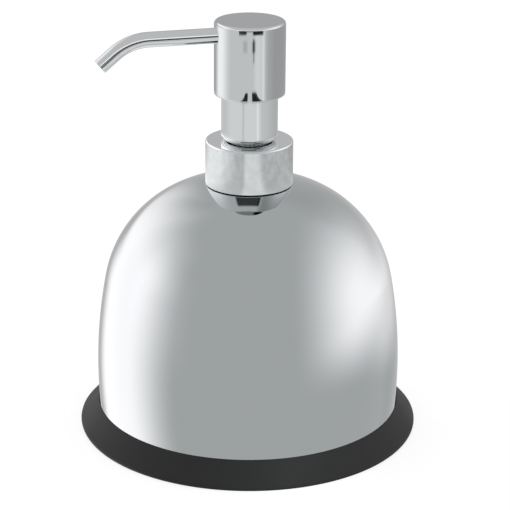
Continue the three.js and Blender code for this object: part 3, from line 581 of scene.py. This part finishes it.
points, faces = spin(np.concatenate([outside, inside]), head["sides"])
points, faces = drillWall(points, faces, head["sides"], {
    "bearing": 180, "height": head["holeHeight"], "radius": head["holeRadius"], "edge": head["holeEdge"],
    "outer": skin, "inner": hollow, "columns": head["windowColumns"], "rows": head["windowRows"],
    "outerRow": len(footArc) + 2, "innerRow": len(outside) + 3, "rings": head["rings"]})
headCap = addPiece("headCap", points, faces, pumpChrome, "head", ["head_shell"])
headCap.visible_glossy = False          # the dome shows no image of the head's hollow underside

# Spout: a tube along a level run, a bend and a short end, with both rims a little rounded.
spout = {"radius": 2.7, "wall": 0.6, "height": 145.3, "root": 4.4, "straight": 35.85, "bend": 19,
         "bendAngle": 40, "end": 6.4, "rim": 0.18, "sides": 96, "bendStations": 40}
bendAngle = math.radians(spout["bendAngle"])
runLength = spout["straight"] - spout["root"]
bendLength = spout["bend"] * bendAngle
pathLength = runLength + bendLength + spout["end"]


def spoutPath(station):
    # middle of the tube and its heading in the XZ plane at a distance from the root: level, then turning down
    # in proportion to the distance along the bend, then straight on
    turned = np.clip((station - runLength) / spout["bend"], 0, bendAngle)
    level = np.minimum(station, runLength)
    beyond = np.maximum(station - runLength - bendLength, 0)
    x = -(spout["root"] + level + spout["bend"] * np.sin(turned) + beyond * np.cos(turned))
    z = spout["height"] - spout["bend"] * (1 - np.cos(turned)) - beyond * np.sin(turned)
    return x, z, turned


bore = spout["radius"] - spout["wall"]
rim = spout["rim"]
stations = np.concatenate([[0, 0.1], np.linspace(1, runLength - 0.5, 12),
                           np.linspace(runLength, runLength + bendLength, spout["bendStations"]),
                           [pathLength - 3, pathLength - rim - 0.05]])
rimAngle = np.linspace(0, math.pi / 2, 5)
outerRim = np.stack([pathLength - rim + rim * np.sin(rimAngle), spout["radius"] - rim + rim * np.cos(rimAngle)], 1)
innerRim = np.stack([pathLength - rim + rim * np.cos(rimAngle), bore + rim - rim * np.sin(rimAngle)], 1)
spoutOutline = np.concatenate([
    np.stack([stations, np.full(len(stations), spout["radius"])], 1), outerRim, innerRim,
    np.stack([stations[::-1], np.full(len(stations), bore)], 1)])
x, z, heading = (v[:, None] for v in spoutPath(spoutOutline[:, 0]))
tubeAngle = np.arange(spout["sides"]) * 2 * math.pi / spout["sides"]
upward = spoutOutline[:, 1:] * np.sin(tubeAngle)
points = np.stack([x - upward * np.sin(heading), spoutOutline[:, 1:] * np.cos(tubeAngle) + 0 * x,
                   z + upward * np.cos(heading)], -1)
spoutTube = addPiece("spoutTube", points.reshape(-1, 3), gridFaces(len(spoutOutline), spout["sides"]), pumpChrome,
                     "head", ["spout_tube"])
spoutTube.visible_glossy = False        # the dome and the head show no image of the spout
print("head and spout made")


def turnedPiece(name, look, material, body, replaced, extra=()):
    # a turned solid from its outline's corners, with any further surfaces of points and faces joined to it
    outline = withHolds(roundedOutline(look["corners"], 4))
    points, faces = spin(outline, look["sides"])
    for morePoints, moreFaces in extra:
        faces = np.concatenate([faces, moreFaces + len(points)])
        points = np.concatenate([points, morePoints])
    return addPiece(name, points, faces, material, body, [replaced])


def closedRun(rows):
    # a run of closed sections, joined up and closed at its ends by fans that meet in the middle of a section
    count = rows.shape[1]
    rows = np.concatenate([rows[:1].mean(1, keepdims=True).repeat(count, 1), rows,
                           rows[-1:].mean(1, keepdims=True).repeat(count, 1)])
    return rows.reshape(-1, 3), gridFaces(len(rows), count, False)


thread = {"pitch": 4.2, "depth": 1.15, "foot": 1.9, "crest": 1.1, "weld": 0.4, "turns": 1.25, "fade": 0.08,
          "steps": 150}


def screwRidge(wall, side, start, startTurns):
    # A tapered ridge on a round wall. At t turns it lies at the angle 2 pi t and the height start + pitch t, and its
    # crest stands out by the depth times the lesser of 1, t / fade and (turns - t) / fade.
    done = np.linspace(0, thread["turns"], thread["steps"] + 1)
    angle = 2 * math.pi * (startTurns + done)
    rise = np.minimum(1, np.minimum(done, thread["turns"] - done) / thread["fade"])[:, None]
    weld, foot, crest = thread["weld"], thread["foot"] / 2, thread["crest"] / 2
    outline = roundedOutline([(0, -foot), (1, -crest, 0.12), (1, crest, 0.12), (0, foot)], 3)
    reach = side * (outline[:, 0] * (weld / 2 + (thread["depth"] + weld / 2) * rise)) + wall - side * weld
    height = start + thread["pitch"] * (startTurns + done)[:, None] + outline[:, 1]
    return closedRun(np.stack([reach * np.cos(angle)[:, None], reach * np.sin(angle)[:, None], height], -1))


# Floor of the dome: a spun pan with its rim turned down.
pan = {"sides": 192, "corners": [(0, 8.8), (52.17, 8.8, 0.8), (52.17, 5, 0.15), (52.97, 5, 0.15), (52.97, 9.6, 1.6),
                                 (0, 9.6)]}
turnedPiece("spunFloor", pan, spunSteel, "bottle", "base_pan")

# Neck: turned, with an outer thread and a flange that is brazed under the crown of the dome.
neck = {"sides": 144, "root": 12.55, "ridgeStart": 94.2,
        "corners": [(10.9, 87.76, 0.2), (16.3, 87.76, 0.2), (16.3, 89.76, 0.2), (12.55, 89.76), (12.55, 101.1, 0.1),
                    (12.05, 101.6, 0.1), (10.9, 101.6, 0.2)]}
turnedPiece("threadedNeck", neck, turnedSteel, "bottle", "neck_ring",
            [screwRidge(neck["root"], 1, neck["ridgeStart"], 0)])

# Gasket: a flat washer on the neck's lip.
washer = {"sides": 128, "corners": [(7.3, 101.75, 0.12), (12.4, 101.75, 0.12), (12.4, 102.95, 0.12),
                                    (7.3, 102.95, 0.12)]}
turnedPiece("flatGasket", washer, elastomer, "gasket", "neck_gasket")

# Insert of the collar: its thread runs in that of the neck, and its ledge holds the pump's flange down.
insert = {"sides": 144, "root": 14.0,
          "corners": [(14.0, 91.65, 0.15), (14.9, 91.65, 0.15), (14.9, 106.5, 0.7), (8.2, 106.5, 0.2),
                      (8.2, 104.65, 0.2), (14.0, 104.65)]}
turnedPiece("threadedInsert", insert, greyPolypropylene, "collar", "collar_insert",
            [screwRidge(insert["root"], -1, neck["ridgeStart"] - thread["pitch"] / 2, 0.25)])

# Housing of the pump: barrel, flange, ball chamber with cone and cage, socket for the tube, and a vent hole.
housing = {"sides": 128, "outer": 7.0, "inner": 5.9,
           "belowVent": [(3.15, 50.7, 0.2), (4.35, 50.7, 0.2), (4.35, 59.7), (4.7, 61.6), (4.7, 64.0, 0.3),
                         (7.0, 66.4, 0.3)],
           "aboveVent": [(7.0, 103.1, 0.2), (12.4, 103.1, 0.2), (12.4, 104.5, 0.2), (5.9, 104.5, 0.2)],
           "chamber": [(5.9, 66.4), (2.2, 66.4, 0.15), (2.2, 65.4, 0.15), (3.5, 65.4), (3.5, 61.6), (1.6, 59.7, 0.15),
                       (1.6, 58.7), (3.15, 58.7)],
           "ventHeight": 95.55, "ventRadius": 0.6, "ventEdge": 0.08, "ventSpan": 1.3, "ventRows": 8,
           "ventColumns": 8, "ventRings": 4}
ventRows = np.linspace(housing["ventHeight"] - housing["ventSpan"], housing["ventHeight"] + housing["ventSpan"],
                       housing["ventRows"] + 1)
housingOutline = withHolds(roundedOutline(
    housing["belowVent"] + [(housing["outer"], h) for h in ventRows] + housing["aboveVent"]
    + [(housing["inner"], h) for h in ventRows[::-1]] + housing["chamber"], 4))
points, faces = spin(housingOutline, housing["sides"])
outerRow = int(np.argmin(np.abs(housingOutline - [housing["outer"], ventRows[0]]).sum(1)))
innerRow = int(np.argmin(np.abs(housingOutline - [housing["inner"], ventRows[-1]]).sum(1)))
points, faces = drillWall(points, faces, housing["sides"], {
    "bearing": 90, "height": housing["ventHeight"], "radius": housing["ventRadius"], "edge": housing["ventEdge"],
    "outer": housing["outer"], "inner": housing["inner"], "columns": housing["ventColumns"],
    "rows": housing["ventRows"], "outerRow": outerRow, "innerRow": innerRow, "rings": housing["ventRings"]})
addPiece("pumpBarrel", points, faces, naturalPolypropylene, "pump", ["pump_housing"])

# Suction tube: extruded, cut off square.
suction = {"sides": 96, "corners": [(2.2, 12.6, 0.1), (3.0, 12.6, 0.1), (3.0, 58.55, 0.1), (2.2, 58.55, 0.1)]}
turnedPiece("suctionTube", suction, naturalPolypropylene, "pump", "dip_tube")

# Guide that closes the barrel and stands up in the sleeve, with a channel that saves material.
guide = {"sides": 128,
         "corners": [(3.6, 98.15, 0.15), (5.75, 98.15, 0.15), (5.75, 104.65), (8.0, 104.65, 0.1), (8.0, 107.9),
                     (9.25, 109.9, 0.3), (9.25, 122.65, 0.15), (7.925, 122.65, 0.15), (7.925, 112.1), (4.925, 112.1),
                     (4.925, 122.65, 0.15), (3.6, 122.65, 0.15)]}
guidePiece = turnedPiece("stemGuide", guide, whiteAcetal, "pump", "chaplet")

# Bush in the top of the sleeve.
bush = {"sides": 128, "corners": [(3.6, 122.8, 0.2), (9.25, 122.8, 0.2), (9.25, 125.8, 0.3), (3.6, 125.8, 0.3)]}
bushPiece = turnedPiece("guideBush", bush, greyPolypropylene, "pump", "sleeve_bush")

# Piston seal with two lips.
seal = {"sides": 128,
        "corners": [(3.6, 91.05, 0.1), (5.7, 91.05, 0.08), (5.7, 91.65, 0.1), (5.15, 92.25, 0.3), (5.15, 94.35, 0.3),
                    (5.7, 94.95, 0.1), (5.7, 95.55, 0.08), (3.6, 95.55, 0.1)]}
turnedPiece("pistonSeal", seal, elastomer, "piston", "piston_seal")

# Inlet ball: a half circle from pole to pole, turned.
ball = {"radius": 2.4, "height": 61.706, "sides": 64, "rows": 32}
points, faces = spin(arcPoints((0, ball["height"]), ball["radius"], -math.pi / 2, math.pi / 2, ball["rows"]),
                     ball["sides"])
addPiece("inletBall", points, faces[:-ball["sides"]], groundSteel, "ball", ["inlet_ball"])

# Return spring: drawn wire, seven curls between the seats. Each end turns to stand square on its seat.
spring = {"coil": 4.45, "wire": 0.4, "bottom": 66.55, "top": 89.55, "end": 0.8, "curls": 7, "curlSteps": 40,
          "wireSides": 16, "bend": 0.5, "keep": 9 / 23}
low, high = spring["bottom"] + spring["end"], spring["top"] - spring["end"]
lastAngle = 2 * math.pi * spring["curls"]
climb = (high - low) / lastAngle
curlAngle = np.linspace(spring["bend"] / spring["coil"], lastAngle - spring["bend"] / spring["coil"],
                        spring["curls"] * spring["curlSteps"])
helix = np.stack([curlAngle, low + climb * curlAngle, np.full(len(curlAngle), math.atan(climb / spring["coil"]))], 1)
# Each end turns into the coil over a quarter circle. Rows hold the angle round the axis, the height, and how
# steeply the wire climbs.
quarter = np.linspace(0, math.pi / 2, 9)[:-1]
joinHeight = helix[0, 1]
startBend = np.stack([spring["bend"] * (1 - np.cos(quarter)) / spring["coil"],
                      joinHeight - spring["bend"] * (1 - np.sin(quarter)), math.pi / 2 - quarter], 1)
foot = np.array([[0, spring["bottom"], math.pi / 2]])
lower = np.concatenate([foot, startBend])
upper = (lower * [-1, -1, 1] + [lastAngle, spring["bottom"] + spring["top"], 0])[::-1]
wire = np.concatenate([lower, helix, upper])
angle, height, steepness = wire.T[:, :, None]
outward = np.hstack([np.cos(angle), np.sin(angle), 0 * angle])
along = np.hstack([-np.sin(angle), np.cos(angle), 0 * angle])
upward = np.cos(steepness) * [0, 0, 1] - np.sin(steepness) * along
centres = spring["coil"] * outward + height * [0, 0, 1]
wireAngle = np.arange(spring["wireSides"])[:, None] * 2 * math.pi / spring["wireSides"]
points, faces = closedRun(centres[:, None] + spring["wire"] * (outward[:, None] * np.cos(wireAngle)
                                                               + upward[:, None] * np.sin(wireAngle)))
coilSpring = addPiece("coilSpring", points, faces, springSteel, "pump", ["return_spring"])
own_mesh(coilSpring)
print("inner pieces made")

# Four hidden pieces of the CAD model stay as they are: the head's core, the stem, the rod and the ring round the
# spout's root. Each takes its finished material.
for nodeName, material in {"actuator_core": whiteAcetal, "stem": whiteAcetal, "piston_rod": whiteAcetal,
                           "spout_seal": elastomer}.items():
    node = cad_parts[nodeName]
    node.data.materials.clear()
    node.data.materials.append(material)
    node.visible_glossy = False
guidePiece.visible_glossy = bushPiece.visible_glossy = False    # the head's hollow isn't mirrored in the dome

# Cards: rings of soft strips round the pump, which only its polished walls mirror. One lies level round the neck
# and one rises outwards at the height of the spout. Both show from above alone, so the dome doesn't mirror them.
# A zone lasts between distances from the axis in mm. A strip is a strength and sides, and may have a reach too, and
# a taper: a bearing towards which it draws in beyond a distance, by a share per mm.
cards = {
    "low": {"profile": [(15.8, 91.22), (60, 91.22), (2400, 91.22)], "zones": [
        {"reach": (5, 10, 62, 72), "level": 0.62, "mottle": 0.30, "strips": [       # seen in the collar
            (0.48, (-150, -102, -78, -18)), (0.28, (-15, -5, 18, 32)), (-0.14, (90, 130, 181, 182))]},
        {"reach": (62, 72, 118, 128), "level": 0.56, "strips": [        # seen in the sleeve
            (0.17, (-182, -181, 45, 140)), (0.15, (-120, -70, 38, 50)), (-0.15, (-31, -24, -22, -17)),
            (0.17, (26, 30.5, 32.5, 38))]},
        {"reach": (118, 128, 3000, 3001), "level": 0.44, "strips": [        # seen in the head and the spout
            (0.30, (-150, -112, 38, 62)), (0.50, (-138, -108, -104, -58)), (0.14, (8, 22, 30, 46)),
            (0.22, (37.5, 40.5, 44.5, 51)), (0.08, (46, 52, 58, 86)),
            (-0.35, (8, 11, 13, 16), (184, 193, 228, 234)), (-0.36, (4, 9, 15, 21), (202, 210, 224, 231)),
            (-0.18, (-24, -17, -11, -5), (202, 210, 224, 231)),
            (-0.85, (-33, -30, -8, -5), (100, 104, 138, 143), (-5, 127, 0.16)),
            (-0.85, (7, 9, 42, 46), (100, 104, 139, 145), (7, 127, 0.12)),
            (-0.82, (-36, -32, -14, -7), (236, 240, 3000, 3001)),
            (-0.86, (7, 12, 40, 45), (235, 239, 3000, 3001)),
            (-0.40, (-14, -7, 7, 12), (240, 248, 3000, 3001))]},
    ]},
    "high": {"profile": [(100, 145), (1200, 658)], "zones": [
        {"reach": (90, 91, 152, 162), "level": 0.66, "strips": [(-0.56, (-27, -22, 33, 39))]},
        {"reach": (152, 162, 634, 1090), "level": 0.47, "strips": [(0.85, (-140, -80, 80, 140))]},
        {"reach": (634, 1090, 1300, 1301), "level": 0.8, "strips": []},
    ]},
    "sides": 96,
    "mottleSize": 9,
    "everywhere": (-2, -1, 3001, 3002),     # the reach of a strip that gives none
    "far": 3000,
    "least": 0.02,
}
far = cards["far"]
for cardName in ("low", "high"):
    card = cards[cardName]
    material, tree = startMaterial(cardName + "Card")
    place = addNode(tree, "ShaderNodeTexCoord").outputs["Object"]
    flat = addNode(tree, "ShaderNodeVectorMath", {0: place, 1: (1000, 1000, 0)}, operation="MULTIPLY")
    reach = addNode(tree, "ShaderNodeVectorMath", {0: flat.outputs[0]}, operation="LENGTH").outputs["Value"]
    side = sideAngle(tree, place)
    total = 0.0
    for zone in card["zones"]:
        level = zone["level"]
        if "mottle" in zone:
            cloud = addNode(tree, "ShaderNodeTexNoise", {"Vector": place, "Scale": 1 / (cards["mottleSize"] * mm),
                                                        "Detail": 2.0})
            level = addNode(tree, "ShaderNodeMath", {0: cloud.outputs["Fac"], 1: zone["mottle"],
                                                    2: level - zone["mottle"] / 2}, operation="MULTIPLY_ADD").outputs[0]
        for strength, sides, *limits in zone["strips"]:
            window, bearing = limits[0] if limits else cards["everywhere"], side
            if len(limits) > 1:
                # pivot + (degrees - pivot) times (1 + growth times the distance beyond the start)
                pivot, start, growth = limits[1]
                wider = addNode(tree, "ShaderNodeMapRange", {"Value": reach, "From Min": start, "From Max": start + far,
                                                            "To Min": 1.0, "To Max": 1 + far * growth})
                bearing = addNode(tree, "ShaderNodeMath", {0: side, 1: pivot}, operation="SUBTRACT")
                bearing = addNode(tree, "ShaderNodeMath", {0: bearing.outputs[0], 1: wider.outputs[0], 2: pivot},
                                  operation="MULTIPLY_ADD").outputs[0]
            level = addPatches(tree, level, [(strength, sides, window)], bearing, reach)
        total = addNode(tree, "ShaderNodeMath", {0: softWindow(tree, reach, zone["reach"]), 1: level, 2: total},
                        operation="MULTIPLY_ADD").outputs[0]
    total = addNode(tree, "ShaderNodeMath", {0: total, 1: cards["least"]}, operation="MAXIMUM").outputs[0]
    glow = addNode(tree, "ShaderNodeEmission", {"Color": (1, 1, 1, 1), "Strength": total})
    through = addNode(tree, "ShaderNodeBsdfTransparent")
    facing = addNode(tree, "ShaderNodeNewGeometry")
    both = addNode(tree, "ShaderNodeMixShader", {0: facing.outputs["Backfacing"], 1: glow.outputs[0],
                                                2: through.outputs[0]})
    addNode(tree, "ShaderNodeOutputMaterial", {"Surface": both.outputs[0]})
    material.cycles.emission_sampling = "NONE"
    points, faces = spin(np.array(card["profile"], float), cards["sides"])
    cardMesh = bpy.data.meshes.new(cardName + "Card")
    cardMesh.from_pydata((points * mm).tolist(), [], faces[:-cards["sides"], ::-1].tolist())
    cardMesh.materials.append(material)
    cardPiece = bpy.data.objects.new(cardName + "Card", cardMesh)
    scene.collection.objects.link(cardPiece)
    cardPiece.visible_camera = cardPiece.visible_diffuse = cardPiece.visible_transmission = False
    cardPiece.visible_shadow = False
print("cards made")
